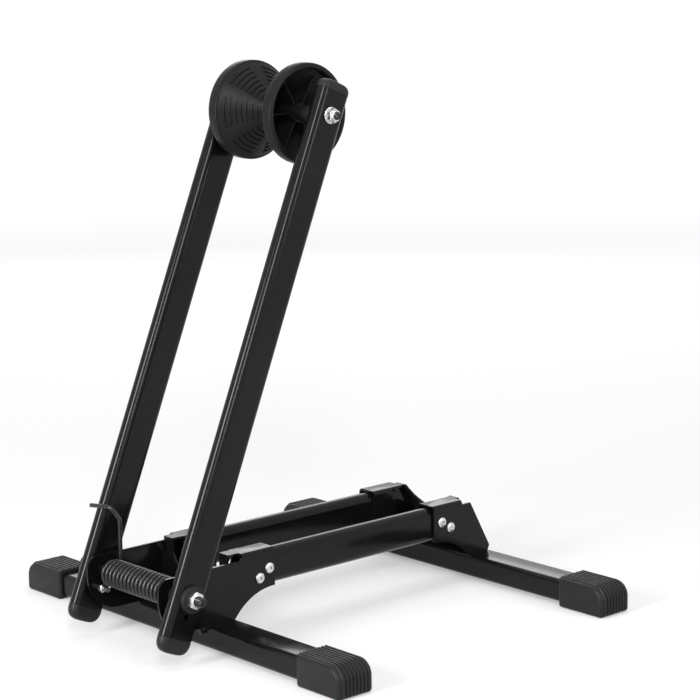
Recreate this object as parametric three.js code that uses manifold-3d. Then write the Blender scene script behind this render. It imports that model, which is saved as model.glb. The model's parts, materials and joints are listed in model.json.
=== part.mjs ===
// Floor rack for one bicycle. The wheel rolls in from the rear, over the sloping
// rear saddle, and settles in the two saddles of the low base, while its tyre
// leans on a grooved roller at the top of two spring-loaded arms.
//
// Millimetres and degrees. +X runs from the arm pivot to the rear, +Z is up, and
// left (-Y) and right (+Y) are those of someone who rolls a wheel in.

import * as THREE from 'three';
import { mergeVertices } from 'three/addons/utils/BufferGeometryUtils.js';
import Module from 'manifold-3d';

const wasm = await Module();
wasm.setup();

// ---------------------------------------------------------------- sizes

const fit = 0.3;                  // clearance of a piece in, on or against another

// Base frame
const overallWidth = 518;         // over the foot caps
const frontTubeX = 58;            // arm pivot to front cross tube
const rearTubeX = 430;            // arm pivot to rear cross tube
const tubeWidth = 36;             // cross tube, along X
const tubeHeight = 25;
const tubeCorner = 5;
const wall = 1.5;                 // of every tube
const railWidth = 20;
const railHeight = 38;
const railFrontGap = 12.5;        // front saddle plate to the rail's front end
const railEndGap = 13;            // rail's rear end to the top of the rear saddle plate

// Foot caps
const footWidth = 45;             // along X
const footLength = 63;            // along Y
const footHeight = 33.5;
const footSole = 3.4;             // under the tube
const footEndWall = 11.5;         // beyond the tube's end
const footToeRadius = 17;         // outer top edge
const footEdgeRadius = 4;
const footRibs = 8;
const footRibWidth = 2.6;
const footRibDepth = 1.2;
const footRibDraft = 0.5;         // slope of a rib's sides

// Sheet brackets
const plate = 2.5;                // sheet thickness
const bracketWidth = 121;         // over the side plates
const bracketTop = 94.5;          // top of the flanges above the floor
const bendRadius = 4;             // outside of the folds
const saddleSlit = 9;             // relief slit between a saddle plate's top and the side plate
const saddlePlay = 0.5;           // saddle plate to side plate, below the slit

// Front bracket, seen from the side
const frontPlateReach = 23.5;     // in front of the pivot
const frontPlateDrop = 6.5;       // its top below the flange top
const frontPlateCorner = 12;
const frontNoseRadius = 37.8;
const frontToe = 3;               // end of the standing edge, before the tube's rear face
const frontArchRadius = 64.5;
const frontArchLedge = 2;         // side plate behind the arch's top
const frontFlangeLength = 29;
const frontStep = 9;              // saddle plate to the step up to the flange
const frontStepRun = 4;
const frontNotchRadius = 43;
const frontNotchRise = 2.5;       // notch centre above the flange top
const frontNotchHalf = 38.5;      // half the notch's width, at most
const frontEar = 53;              // half the width of the saddle plate's top
const frontEarDrop = 11.5;        // height over which the slit narrows to it
const frontReliefDrop = 17.5;     // the slit's lower end below the flange top
const frontReliefCorner = 3;

// Rear bracket, seen from the side
const rearSlope = 29.3;           // saddle plate and rear edge, from upright
const rearFootInset = 1.1;        // saddle plate's foot on the tube's flat top
const rearPlateOverhang = 3.7;    // side plate behind the saddle plate
const rearShoulder = 4.9;         // side plate's rear corner below the flange top
const rearSlitLength = 6;         // top of the saddle plate to the folded edge
const rearReliefLength = 28;      // of the slits, down the saddle plate
const rearArchRadius = 76;
const rearCheekLength = 28;       // inner cheek, along the rail
const rearHeel = 7;               // chamfer of the lower rear corner
const rearNotchRadius = 38.3;
const rearNotchRise = 15.5;

// Bracket screws: [from the side plate's edge on the rail, above the rail's middle]
const frontScrewSpots = [[7.4, 1], [20.3, -7.3]];
const rearScrewSpots = [[11.8, 2.6], [25.1, -5.3]];
const screwDiameter = 6;
const screwLength = 8;
const screwHeadDiameter = 11.5;
const screwHeadHeight = 3.3;
const screwSocket = 4;

// Arms
const pivotHeight = 70;
const restLean = 22.3;            // from upright, towards the rear
const furthestLean = -18;         // pushed to the front by a wheel
const armReach = 500;             // pivot axis to roller axle
const armWidth = 39;
const armThickness = 16;
const armBelow = 41;              // pivot axis to the tube's lower end
const armAbove = 24.5;            // roller axle to the tube's upper end
const capLip = 0.2;               // a cap stands out round its tube
const capLipHeight = 3;
const topCapDome = 7.5;           // above the lip
const bottomCapDome = 13;
const capPlug = 12;
const capSteps = 5;
const capLastRise = 82;           // degrees up the dome, where its flat top starts
const capWidthPower = 0.5;
const capThicknessPower = 0.35;

// Arm pivot
const pivotDiameter = 10;
const pivotHeadHeight = 6.4;
const pivotNutWidth = 16;         // across flats
const pivotNutHeight = 6.5;
const pivotTip = 8;               // thread past the nut
const pivotSpacerWidth = 6;       // between bracket and arm
const pivotSpacerDiameter = 24;
const bushDiameter = 14;
const bushFlange = 5;
const springPlay = 2.25;          // between the coil and the sleeve inside it

// Stop screw
const stopDiameter = 5;
const stopPlay = 1.25;            // between the screw and the coil
const stopHeadDiameter = 8.5;
const stopHeadHeight = 5;
const stopNutWidth = 8;
const stopNutHeight = 4.7;
const stopTip = 7;

// Torsion spring
const wireDiameter = 4.5;
const coilDiameter = 29.5;        // outside
const coilCurls = 16;
const coilEndGap = 5.5;           // to the side plates
const lowLegAngle = 65;           // where the coil leaves for the leg on the base, from upright
const highLegAngle = 90;          // where it leaves for the leg on the arm
const hookHeight = 67;            // above the pivot
const hookDrop = 3;               // from the bend to the tip
const hookForward = 3;
const hookPast = 1.5;             // tip past the arm's outer face
const curlSteps = 8;
const wireSides = 5;

// Roller
const rollerDiameter = 103;
const rollerWidth = 98.5;
const rimWidth = 13;
const rimWall = 5;
const rimEdge = 2;
const rollerWall = 3;
const waistDiameter = 24;         // at the bottom of the groove
const waistWidth = 6;
const hubDiameter = 20;
const hubInset = 13;              // rim face to the hub's end
const dishDepth = 15;             // rim face to the ribs
const webRibs = 6;
const webRibThickness = 2;
const axleDiameter = 8;
const axleHeadHeight = 5.3;
const axleNutWidth = 13;
const axleNutHeight = 8;
const axleTip = 4;
const axleWasherDiameter = 17;
const axleWasher = 1.4;
const axleSpacerDiameter = 16;

// ---------------------------------------------------------------- places

const radians = THREE.MathUtils.degToRad;

const tubeBottom = footSole + fit;
const tubeTop = tubeBottom + tubeHeight;
const tubeHalfLength = overallWidth / 2 - footEndWall - fit;

// Across the rack, from the middle
const plateOuter = bracketWidth / 2;
const plateInner = plateOuter - plate;
const railY = plateInner - fit - railWidth / 2;
const cheekOuter = railY - railWidth / 2 - fit;
const cheekInner = cheekOuter - plate;
const saddleHalf = plateInner - saddleSlit;
const saddleFoot = plateInner - saddlePlay;
const armInner = plateOuter + pivotSpacerWidth;
const armOuter = armInner + armThickness;
const armY = (armInner + armOuter) / 2;
const bushOuter = armOuter + bushFlange;
const rollerHalf = rollerWidth / 2;
const hubEnd = rollerHalf - hubInset;

// Up
const flangeUnder = bracketTop - plate;
const railTop = flangeUnder - fit;
const railMiddle = railTop - railHeight / 2;
const plateLow = railTop - railHeight + fit;
const frontNotchZ = bracketTop + frontNotchRise;
const rearNotchZ = bracketTop + rearNotchRise;

// Along the rack
const frontFlapX = frontTubeX + tubeWidth / 2 - tubeCorner;
const frontToeX = frontTubeX + tubeWidth / 2 - frontToe;
const frontArchX = frontToeX + archReach(frontArchRadius);
const frontPlateEnd = frontArchX + frontArchLedge;
const frontFlangeX = frontPlateEnd - frontFlangeLength;
const frontFoldX = frontFlapX + frontStep + frontStepRun;
const slope = Math.tan(radians(rearSlope));
const rearFootX = rearTubeX + tubeWidth / 2 - tubeCorner - rearFootInset;
const rearFlapX = rearFootX - (bracketTop - tubeTop) * slope;
const rearToeX = rearTubeX - tubeWidth / 2;
const rearPlateX = rearToeX - archReach(rearArchRadius);
const rearSlitX = rearFlapX - rearSlitLength;
const railFrontX = frontFlapX + plate + railFrontGap;
const railRearX = rearFlapX - railEndGap;
const frontScrews = frontScrewSpots.map(([back, up]) => [frontPlateEnd - back, railMiddle + up]);
const rearScrews = rearScrewSpots.map(([back, up]) => [rearPlateX + back, railMiddle + up]);

// Round the pivot
const stopRadius = coilDiameter / 2 + stopPlay + stopDiameter / 2;
const stopNutY = plateInner - fit;
const bushFlangeRadius = stopRadius - stopHeadDiameter / 2 - fit;
const sleeveDiameter = coilDiameter - 2 * wireDiameter - 2 * springPlay;
const coilRadius = (coilDiameter - wireDiameter) / 2;
const coilTurns = coilCurls - (highLegAngle - lowLegAngle) / 360;
const coilHalf = plateInner - coilEndGap - wireDiameter / 2;

// How far an arch of this radius runs: level with the rail at its top, it comes
// down to the cross tube at the toe of its side plate.
function archReach(radius) {
  const drop = radius - (plateLow - tubeTop);
  return Math.sqrt(radius ** 2 - drop ** 2);
}

// ---------------------------------------------------------------- materials

function surface(color, roughness, metalness) {
  return new THREE.MeshStandardMaterial({ color, roughness, metalness });
}

const blackPaint = surface(0x1d1c1d, 0.42, 0.3);
const blackPlastic = surface(0x232223, 0.6, 0);
const blackSteel = surface(0x262526, 0.4, 0.6);
const zinc = surface(0xc9c9cb, 0.3, 1);

// ---------------------------------------------------------------- solids

// A closed solid from a geometry, with its faces turned outwards.
function solid(geometry) {
  const bare = geometry.index ? geometry.toNonIndexed() : geometry.clone();
  bare.deleteAttribute('normal');
  bare.deleteAttribute('uv');
  const welded = mergeVertices(bare, 1e-4);
  const points = welded.getAttribute('position').array;
  const corners = welded.index.array;
  const triangles = [];
  let volume = 0;
  for (let i = 0; i < corners.length; i += 3) {
    const [a, b, c] = corners.slice(i, i + 3);
    if (a === b || b === c || c === a) continue;
    triangles.push(a, b, c);
    const [p, q, r] = [a, b, c].map((corner) => new THREE.Vector3().fromArray(points, 3 * corner));
    volume += p.dot(q.cross(r));
  }
  if (volume < 0) triangles.reverse();
  return new wasm.Manifold(new wasm.Mesh({
    numProp: 3,
    vertProperties: new Float32Array(points),
    triVerts: new Uint32Array(triangles),
  }));
}

function geometryOf(body) {
  const mesh = body.getMesh();
  const geometry = new THREE.BufferGeometry();
  geometry.setAttribute('position', new THREE.BufferAttribute(new Float32Array(mesh.vertProperties), 3));
  geometry.setIndex(new THREE.BufferAttribute(new Uint32Array(mesh.triVerts), 1));
  return geometry;
}

function joined(...bodies) {
  return bodies.reduce((whole, body) => whole.add(body));
}

function cut(body, ...tools) {
  return tools.reduce((rest, tool) => rest.subtract(tool), body);
}

function mirrored(body) {
  return body.mirror([0, 1, 0]);
}

const axisX = new THREE.Vector3(1, 0, 0);
const axisY = new THREE.Vector3(0, 1, 0);
const axisZ = new THREE.Vector3(0, 0, 1);

// An outline pushed along an axis, from one place on it to another. It is drawn
// in (y, z) for the X axis, in (x, z) for the Y axis and in (x, y) for the Z axis.
function extruded(outline, axis, from, to, arcSteps = 8) {
  const settings = { depth: to - from, bevelEnabled: false, curveSegments: arcSteps };
  const geometry = new THREE.ExtrudeGeometry(outline, settings);
  const turn = new THREE.Matrix4();
  if (axis === axisX) turn.makeBasis(axisY, axisZ, axisX).setPosition(from, 0, 0);
  if (axis === axisY) turn.makeBasis(axisX, axisZ, axisY.clone().negate()).setPosition(0, to, 0);
  if (axis === axisZ) turn.setPosition(0, 0, from);
  return solid(geometry.applyMatrix4(turn));
}

// A round bar along Y, at (x, z).
function bar(diameter, fromY, toY, x = 0, z = 0, sides = 24) {
  const geometry = new THREE.CylinderGeometry(diameter / 2, diameter / 2, toY - fromY, sides);
  return solid(geometry.translate(x, (fromY + toY) / 2, z));
}

// A body turned about the Y axis, from [radius, y] pairs.
function turned(profile, sides) {
  const points = profile.map(([radius, y]) => new THREE.Vector2(radius, y));
  return solid(new THREE.LatheGeometry(points, sides));
}

// A body through rings of points, each with as many points, closed at both ends.
function lofted(rings) {
  const count = rings[0].length;
  const points = rings.flat();
  const triangles = [];
  for (let i = 0; i < count * (rings.length - 1); i++) {
    const next = i - (i % count) + ((i + 1) % count);
    triangles.push(i, next, i + count, next, next + count, i + count);
  }
  const last = count * (rings.length - 1);
  for (let i = 0; i < count; i++) {
    const next = (i + 1) % count;
    triangles.push(next, i, points.length, last + i, last + next, points.length + 1);
  }
  for (const ring of [rings[0], rings[rings.length - 1]]) {
    points.push(ring.reduce((sum, point) => sum.add(point), new THREE.Vector3()).divideScalar(count));
  }
  const geometry = new THREE.BufferGeometry().setFromPoints(points);
  geometry.setIndex(triangles);
  return solid(geometry);
}

// ---------------------------------------------------------------- outlines

function polygon(points) {
  return new THREE.Shape(points.map(([a, b]) => new THREE.Vector2(a, b)));
}

// A closed outline from its right half, whose points are listed from the bottom.
function symmetric(points) {
  const left = points.map(([a, b]) => [-a, b]).reverse();
  return polygon([...points, ...left]);
}

function circle(diameter, a = 0, b = 0) {
  const shape = new THREE.Shape();
  shape.absarc(a, b, diameter / 2, 0, 2 * Math.PI, false);
  return shape;
}

function hexagon(acrossFlats) {
  const radius = acrossFlats / Math.sqrt(3);
  const corners = [0, 60, 120, 180, 240, 300].map(radians);
  return polygon(corners.map((angle) => [radius * Math.cos(angle), radius * Math.sin(angle)]));
}

// A rectangle whose corners each have their own radius, from the lower left one
// counter-clockwise.
function rectangle(left, right, low, high, radii = [0, 0, 0, 0]) {
  const shape = new THREE.Shape();
  radii.forEach((radius, i) => {
    const a = i === 0 || i === 3 ? left + radius : right - radius;
    const b = i < 2 ? low + radius : high - radius;
    const start = Math.PI * (1 + i / 2);
    if (radius > 0) shape.absarc(a, b, radius, start, start + Math.PI / 2, false);
    else if (i === 0) shape.moveTo(a, b);
    else shape.lineTo(a, b);
  });
  return shape;
}

function rounded(left, right, low, high, radius) {
  return rectangle(left, right, low, high, [radius, radius, radius, radius]);
}

// A flat oval with fully rounded narrow edges, about (a, b).
function oval(width, height, a = 0, b = 0) {
  const radius = Math.min(width, height) / 2;
  const start = width > height ? -Math.PI / 2 : 0;
  const shape = new THREE.Shape();
  shape.absarc(a + width / 2 - radius, b + height / 2 - radius, radius, start, start + Math.PI, false);
  shape.absarc(a - width / 2 + radius, b - height / 2 + radius, radius, start + Math.PI, start + 2 * Math.PI, false);
  return shape;
}

function hollow(outer, inner) {
  outer.holes.push(inner);
  return outer;
}

// ---------------------------------------------------------------- base

function crossTube() {
  const half = tubeWidth / 2;
  const outer = rounded(-half, half, tubeBottom, tubeTop, tubeCorner);
  const bore = rounded(wall - half, half - wall, tubeBottom + wall, tubeTop - wall, tubeCorner - wall);
  return extruded(hollow(outer, bore), axisY, -tubeHalfLength, tubeHalfLength, 2);
}

// The moulded cap on a cross tube's right end. Its ribs, which run over the top
// and down the outer end, are the fuller ones of the profiles across it.
function footCap() {
  const outerY = overallWidth / 2;
  const innerY = outerY - footLength;
  const half = footWidth / 2;
  const profile = (x, drop) => {
    const radii = [footEdgeRadius, footEdgeRadius, footToeRadius - drop, 0];
    const outline = rectangle(innerY, outerY - drop, 0, footHeight - drop, radii);
    return outline.getPoints(2).map((point) => new THREE.Vector3(x, point.x, point.y));
  };
  const pitch = (footWidth - 2 * footEdgeRadius) / footRibs;
  const rings = [profile(-half, footRibDepth + footEdgeRadius), profile(footEdgeRadius / 2 - half, footRibDepth)];
  for (let i = 0; i < footRibs; i++) {
    const x = (i - (footRibs - 1) / 2) * pitch;
    const rib = footRibWidth / 2;
    rings.push(profile(x - rib, footRibDepth), profile(x - rib + footRibDraft, 0));
    rings.push(profile(x + rib - footRibDraft, 0), profile(x + rib, footRibDepth));
  }
  rings.push(profile(half - footEdgeRadius / 2, footRibDepth), profile(half, footRibDepth + footEdgeRadius));
  const pocket = rounded(-tubeWidth / 2 - fit, tubeWidth / 2 + fit, footSole, tubeTop + fit, tubeCorner + fit);
  return cut(lofted(rings), extruded(pocket, axisY, innerY - 1, tubeHalfLength + fit, 2));
}

function screwHoles(places) {
  return places.map(([x, z]) => bar(screwDiameter + 2 * fit, railY, plateOuter + 1, x, z, 12));
}

function rail() {
  const outer = oval(railWidth, railHeight, railY, railMiddle);
  const bore = oval(railWidth - 2 * wall, railHeight - 2 * wall, railY, railMiddle);
  const tube = extruded(hollow(outer, bore), axisX, railFrontX, railRearX, 5);
  return cut(tube, ...screwHoles(frontScrews), ...screwHoles(rearScrews));
}

// The folded top of a side plate over the right rail: a flange, and where there
// is a cheek, a second fold that comes down inside the rail.
function foldedEdge(fromX, toX, hasCheek) {
  const inside = hasCheek ? cheekInner : cheekOuter;
  const bend = bendRadius - plate;
  const outer = rectangle(inside, plateOuter, plateLow, bracketTop,
    [0, 0, bendRadius, hasCheek ? bendRadius : 0]);
  const space = rectangle(inside + (hasCheek ? plate : -plate), plateInner, plateLow - plate, flangeUnder,
    [0, 0, bend, hasCheek ? bend : 0]);
  return cut(extruded(outer, axisX, fromX, toX, 2), extruded(space, axisX, fromX - 1, toX + 1, 2));
}

// The slot round the pivot that the stop screw travels in.
function stopSlot() {
  const half = stopDiameter / 2 + fit;
  const first = 1.5 * Math.PI - radians(restLean);
  const last = 1.5 * Math.PI - radians(furthestLean);
  const end = (angle, from) => {
    const x = stopRadius * Math.cos(angle);
    const z = pivotHeight + stopRadius * Math.sin(angle);
    slot.absarc(x, z, half, from, from + Math.PI, false);
  };
  const slot = new THREE.Shape();
  slot.absarc(0, pivotHeight, stopRadius + half, first, last, false);
  end(last, last);
  slot.absarc(0, pivotHeight, stopRadius - half, last, first, true);
  end(first, first + Math.PI);
  return slot;
}

function frontSide() {
  const archZ = plateLow - frontArchRadius;
  const toe = Math.atan2(tubeTop - archZ, frontToeX - frontArchX);
  const front = -frontPlateReach;
  const top = bracketTop - frontPlateDrop;
  const corner = frontPlateCorner;
  const nose = frontNoseRadius;
  const outline = new THREE.Shape();
  outline.absarc(frontArchX, archZ, frontArchRadius, toe, Math.PI / 2, true);
  outline.lineTo(frontPlateEnd, plateLow);
  outline.lineTo(frontPlateEnd, bracketTop - bendRadius);
  outline.lineTo(frontFoldX, bracketTop - bendRadius);
  outline.lineTo(frontFoldX - frontStepRun, top);
  outline.absarc(front + corner, top - corner, corner, Math.PI / 2, Math.PI, false);
  outline.absarc(front + nose, tubeTop + nose, nose, Math.PI, 1.5 * Math.PI, false);
  return cut(
    extruded(outline, axisY, plateInner, plateOuter, 6),
    bar(pivotDiameter + 2 * fit, plateInner - 1, plateOuter + 1, 0, pivotHeight),
    extruded(stopSlot(), axisY, plateInner - 1, plateOuter + 1, 4),
  );
}

function rearSide() {
  const archZ = plateLow - rearArchRadius;
  const toe = Math.atan2(tubeTop - archZ, rearToeX - rearPlateX);
  const overhang = rearPlateOverhang / Math.cos(radians(rearSlope));
  const edgeX = (z) => rearFlapX + overhang + (bracketTop - z) * slope;
  const shoulder = bracketTop - rearShoulder;
  const outline = new THREE.Shape();
  outline.moveTo(edgeX(tubeTop) - rearHeel, tubeTop);
  outline.lineTo(edgeX(tubeTop + rearHeel), tubeTop + rearHeel);
  outline.lineTo(edgeX(shoulder), shoulder);
  outline.lineTo(rearSlitX, shoulder);
  outline.lineTo(rearSlitX, bracketTop - bendRadius);
  outline.lineTo(rearPlateX, bracketTop - bendRadius);
  outline.absarc(rearPlateX, archZ, rearArchRadius, Math.PI / 2, toe, true);
  return extruded(outline, axisY, plateInner, plateOuter, 6);
}

// The front bracket is one folded sheet: two side plates that carry the arm
// pivot, the folds over the rails, and the notched plate that stands between.
function frontBracket() {
  const folds = joined(
    foldedEdge(frontFoldX, frontFlangeX, false),
    foldedEdge(frontFlangeX, frontPlateEnd, true),
  );
  const shelf = rectangle(frontFlapX, frontFoldX + plate, frontNotchHalf, frontEar);
  const half = joined(
    cut(joined(frontSide(), folds), ...screwHoles(frontScrews)),
    extruded(shelf, axisZ, flangeUnder, bracketTop),
  );
  const slitEnd = bracketTop - frontReliefDrop;
  const outline = symmetric([
    [saddleFoot, tubeTop], [saddleFoot, slitEnd], [saddleHalf, slitEnd + frontReliefCorner],
    [saddleHalf, bracketTop - frontEarDrop], [frontEar, bracketTop - bendRadius], [frontEar, bracketTop],
  ]);
  const flapEnd = frontFlapX + plate;
  const round = extruded(circle(2 * frontNotchRadius, 0, frontNotchZ), axisX, frontFlapX - 1, flapEnd + 1, 24);
  const slot = rectangle(-frontNotchHalf, frontNotchHalf, tubeTop, bracketTop + 1);
  const notch = round.intersect(extruded(slot, axisX, frontFlapX - 1, flapEnd + 1));
  const flap = cut(extruded(outline, axisX, frontFlapX, flapEnd), notch);
  return joined(half, mirrored(half), flap);
}

// The rear bracket is folded alike, and its notched plate slopes down to the
// rear, as a ramp for the tyre.
function rearBracket() {
  const cheekEnd = rearPlateX + rearCheekLength;
  const folds = joined(
    foldedEdge(rearPlateX, cheekEnd, true),
    foldedEdge(cheekEnd, rearSlitX, false),
  );
  const shelf = rectangle(rearSlitX - plate, rearFlapX, cheekOuter, saddleHalf);
  const half = joined(
    cut(joined(rearSide(), folds), ...screwHoles(rearScrews)),
    extruded(shelf, axisZ, flangeUnder, bracketTop),
  );
  const angle = radians(rearSlope);
  const up = new THREE.Vector3(-Math.sin(angle), 0, Math.cos(angle));
  const outward = new THREE.Vector3(Math.cos(angle), 0, Math.sin(angle));
  const length = (bracketTop - tubeTop) / Math.cos(angle) + plate;
  const flapOutline = symmetric([
    [saddleFoot, -length], [saddleFoot, -rearReliefLength], [saddleHalf, -rearReliefLength], [saddleHalf, 0],
  ]);
  const sheet = new THREE.ExtrudeGeometry(flapOutline, { depth: plate, bevelEnabled: false });
  sheet.translate(0, 0, -plate);
  sheet.applyMatrix4(new THREE.Matrix4().makeBasis(axisY, up, outward).setPosition(rearFlapX, 0, bracketTop));
  const endX = rearTubeX + tubeWidth;
  const flap = cut(
    solid(sheet),
    extruded(rectangle(rearPlateX, endX, 0, tubeTop), axisY, -plateOuter, plateOuter),
    extruded(circle(2 * rearNotchRadius, 0, rearNotchZ), axisX, rearPlateX, endX, 24),
  );
  return joined(half, mirrored(half), flap);
}

// A button-head screw along -Y, with its head's underside at y = 0.
function buttonScrew() {
  const head = screwHeadDiameter / 2;
  const body = turned([
    [0, -screwLength], [screwDiameter / 2, -screwLength], [screwDiameter / 2, 0], [head, 0],
    [head, screwHeadHeight * 0.3], [head * 0.87, screwHeadHeight * 0.75],
    [head * 0.6, screwHeadHeight], [0, screwHeadHeight],
  ], 14);
  return cut(body, extruded(hexagon(screwSocket), axisY, screwHeadHeight / 3, screwHeadHeight + 1));
}

// ---------------------------------------------------------------- pivot

// A bolt along -Y, with its head's underside at y = 0.
function bolt(diameter, head, headHeight, length) {
  return joined(bar(diameter, -length, headHeight / 2), extruded(head, axisY, 0, headHeight));
}

// A nut, washer or spacer round the Y axis, between two places on it.
function collar(outline, bore, fromY, toY) {
  return extruded(hollow(outline, circle(bore)), axisY, fromY, toY, 10);
}

// The plastic bush in the right arm, with a thick flange on the arm's outside.
function flangeBush() {
  const bore = pivotDiameter / 2 + fit;
  const flange = bushFlangeRadius;
  return turned([
    [bore, armInner], [bushDiameter / 2, armInner], [bushDiameter / 2, armOuter], [flange, armOuter],
    [flange, bushOuter - 1], [flange - 1, bushOuter], [bore, bushOuter], [bore, armInner],
  ], 24);
}

// The wire's middle line round the pivot axis: from the leg that bears on the
// front cross tube, along the left-handed coil, to the hook before the right arm.
function springLine() {
  const wire = wireDiameter / 2;
  const start = radians(lowLegAngle);
  const curl = (turn) => {
    const angle = start - 2 * Math.PI * turn;
    const y = coilHalf * (2 * turn / coilTurns - 1);
    return new THREE.Vector3(coilRadius * Math.sin(angle), y, coilRadius * Math.cos(angle));
  };
  const lowLeg = new THREE.Vector3(Math.cos(start), 0, -Math.sin(start));
  const seatX = frontTubeX - tubeWidth / 2 - fit - wire * Math.sin(start);
  const run = (seatX - curl(0).x) / lowLeg.x;
  const points = [curl(0).addScaledVector(lowLeg, run), curl(0).addScaledVector(lowLeg, run / 2)];
  const steps = Math.round(coilTurns * curlSteps);
  for (let i = 0; i <= steps; i++) points.push(curl(coilTurns * i / steps));

  const lean = radians(restLean);
  const end = curl(coilTurns);
  const tipY = armOuter + hookPast;
  const bendY = end.y + 2 * wireDiameter;
  const share = (armY - bendY) / (tipY - bendY);
  const seatZ = hookHeight - hookDrop * share;
  const frontEdge = seatZ * Math.tan(lean) - armWidth / 2 / Math.cos(lean);
  const bendX = frontEdge - (wire + fit) / Math.cos(lean) + hookForward * share;
  const legTop = new THREE.Vector3(end.x, end.y, hookHeight - 2 * wireDiameter);
  const bend = new THREE.Vector3(bendX, bendY, hookHeight);
  const corner = new THREE.Vector3(end.x, end.y, hookHeight);
  points.push(new THREE.Vector3(end.x, end.y, hookHeight / 3));
  points.push(...new THREE.QuadraticBezierCurve3(legTop, corner, bend).getPoints(4));
  points.push(new THREE.Vector3(bendX - hookForward, tipY, hookHeight - hookDrop));
  return points;
}

// A ring of points square to the wire at each place on its line; each ring
// carries on the direction of the one before, so that the wire never twists.
function torsionSpring() {
  const line = springLine();
  const across = axisY.clone();
  const rings = line.map((point, i) => {
    const before = line[Math.max(i - 1, 0)];
    const after = line[Math.min(i + 1, line.length - 1)];
    const along = after.clone().sub(before).normalize();
    across.addScaledVector(along, -across.dot(along)).normalize();
    return Array.from({ length: wireSides }, (_, side) => {
      const offset = across.clone().applyAxisAngle(along, 2 * Math.PI * side / wireSides);
      return offset.multiplyScalar(wireDiameter / 2).add(point);
    });
  });
  console.log('torsion_spring: least gap between turns', leastGap(line).toFixed(2), 'mm');
  return lofted(rings);
}

// The least gap of the wire to itself, between stretches half a curl apart.
function leastGap(line) {
  let least = Infinity;
  for (let i = 0; i < line.length; i++) {
    for (let j = i + curlSteps / 2; j + 1 < line.length; j++) {
      const stretch = new THREE.Line3(line[j], line[j + 1]);
      const nearest = stretch.closestPointToPoint(line[i], true, new THREE.Vector3());
      least = Math.min(least, nearest.distanceTo(line[i]) - wireDiameter);
    }
  }
  return least;
}

// ---------------------------------------------------------------- arms

// The right arm, upright, with the pivot axis at z = 0.
function armTube() {
  const outer = oval(armWidth, armThickness, 0, armY);
  const bore = oval(armWidth - 2 * wall, armThickness - 2 * wall, 0, armY);
  const hole = (diameter, z) => bar(diameter + 2 * fit, armInner - 1, armOuter + 1, 0, z, 16);
  return cut(
    extruded(hollow(outer, bore), axisZ, -armBelow, armReach + armAbove, 5),
    hole(bushDiameter, 0),
    hole(stopDiameter, -stopRadius),
    hole(axleDiameter, armReach),
  );
}

// One ring of a flat oval's points, at the right arm.
function ovalRing(width, thickness, z, steps = 6) {
  const points = [];
  for (const side of [1, -1]) {
    for (let i = 0; i <= steps; i++) {
      const angle = Math.PI * (i / steps - side / 2);
      const x = side * (width - thickness) / 2 + thickness / 2 * Math.cos(angle);
      points.push(new THREE.Vector3(x, armY + thickness / 2 * Math.sin(angle), z));
    }
  }
  return points;
}

// A domed plastic cap over a tube end at z = 0 that faces up, with its plug. The
// dome narrows slowly at first, and more in its width than in its thickness.
function armCap(dome) {
  const width = armWidth + 2 * capLip;
  const thickness = armThickness + 2 * capLip;
  const rings = [ovalRing(width, thickness, fit)];
  for (let step = 0; step <= capSteps; step++) {
    const rise = radians(capLastRise * step / capSteps);
    const narrowed = width * Math.cos(rise) ** capWidthPower;
    const thinned = thickness * Math.cos(rise) ** capThicknessPower;
    rings.push(ovalRing(narrowed, thinned, capLipHeight + dome * Math.sin(rise)));
  }
  const inset = 2 * (wall + fit);
  const plug = oval(armWidth - inset, armThickness - inset, 0, armY);
  return joined(lofted(rings), extruded(plug, axisZ, -capPlug, capLipHeight));
}

// ---------------------------------------------------------------- roller

// An outline in (radius, y), given a thickness and repeated round the Y axis.
function radial(outline, thickness, copies) {
  const geometry = new THREE.ExtrudeGeometry(outline, { depth: thickness, bevelEnabled: false });
  const blade = solid(geometry.translate(0, 0, -thickness / 2));
  const copy = (_, i) => blade.rotate([0, 360 * i / copies, 0]);
  return joined(...Array.from({ length: copies }, copy));
}

// The right half of the roller: a rim and a thin cone on a hub, stiffened by
// radial ribs in its dished outer side.
function rollerHalfBody() {
  const rim = rollerDiameter / 2;
  const rimInside = rim - rimWall;
  const rimY = rollerHalf - rimWidth;
  const waist = waistDiameter / 2;
  const waistY = waistWidth / 2;
  const hub = hubDiameter / 2;
  const bore = axleDiameter / 2 + fit;
  const grade = (rim - rimEdge - waist) / (rimY - waistY);
  const tilt = Math.sqrt(1 + grade ** 2);
  const flank = (y, depth) => waist + (y - waistY) * grade - depth * tilt;
  const flankY = (radius, depth) => waistY + (radius - waist + depth * tilt) / grade;
  const shell = turned([
    [bore, 0], [waist, 0], [waist, waistY], [rim - rimEdge, rimY], [rim, rimY + rimEdge],
    [rim, rollerHalf - rimEdge], [rim - rimEdge, rollerHalf], [rimInside, rollerHalf],
    [rimInside, flankY(rimInside, rollerWall)], [hub, flankY(hub, rollerWall)],
    [hub, hubEnd], [bore, hubEnd], [bore, 0],
  ], 32);

  const ribTop = rollerHalf - dishDepth;
  const sunk = rollerWall / 2;
  const web = polygon([[hub - sunk, flankY(hub - sunk, sunk)], [flank(ribTop, sunk), ribTop], [hub - sunk, ribTop]]);
  const reach = bar(2 * (rimInside + sunk), 0, rollerHalf, 0, 0, 32);
  const ribs = radial(web, webRibThickness, webRibs).intersect(reach);

  return joined(shell, ribs);
}

// ---------------------------------------------------------------- assembly

const sides = [['left', -1], ['right', 1]];

function piece(group, name, body, material, x = 0, y = 0, z = 0) {
  const mesh = new THREE.Mesh(geometryOf(body), material);
  mesh.name = name;
  mesh.position.set(x, y, z);
  group.add(mesh);
  return mesh;
}

// The same piece on both sides, made for the right and mirrored for the left.
function pair(group, name, body, material, x = 0, z = 0) {
  for (const [side, sign] of sides) {
    piece(group, `${side}_${name}`, sign > 0 ? body : mirrored(body), material, x, 0, z);
  }
}

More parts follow.
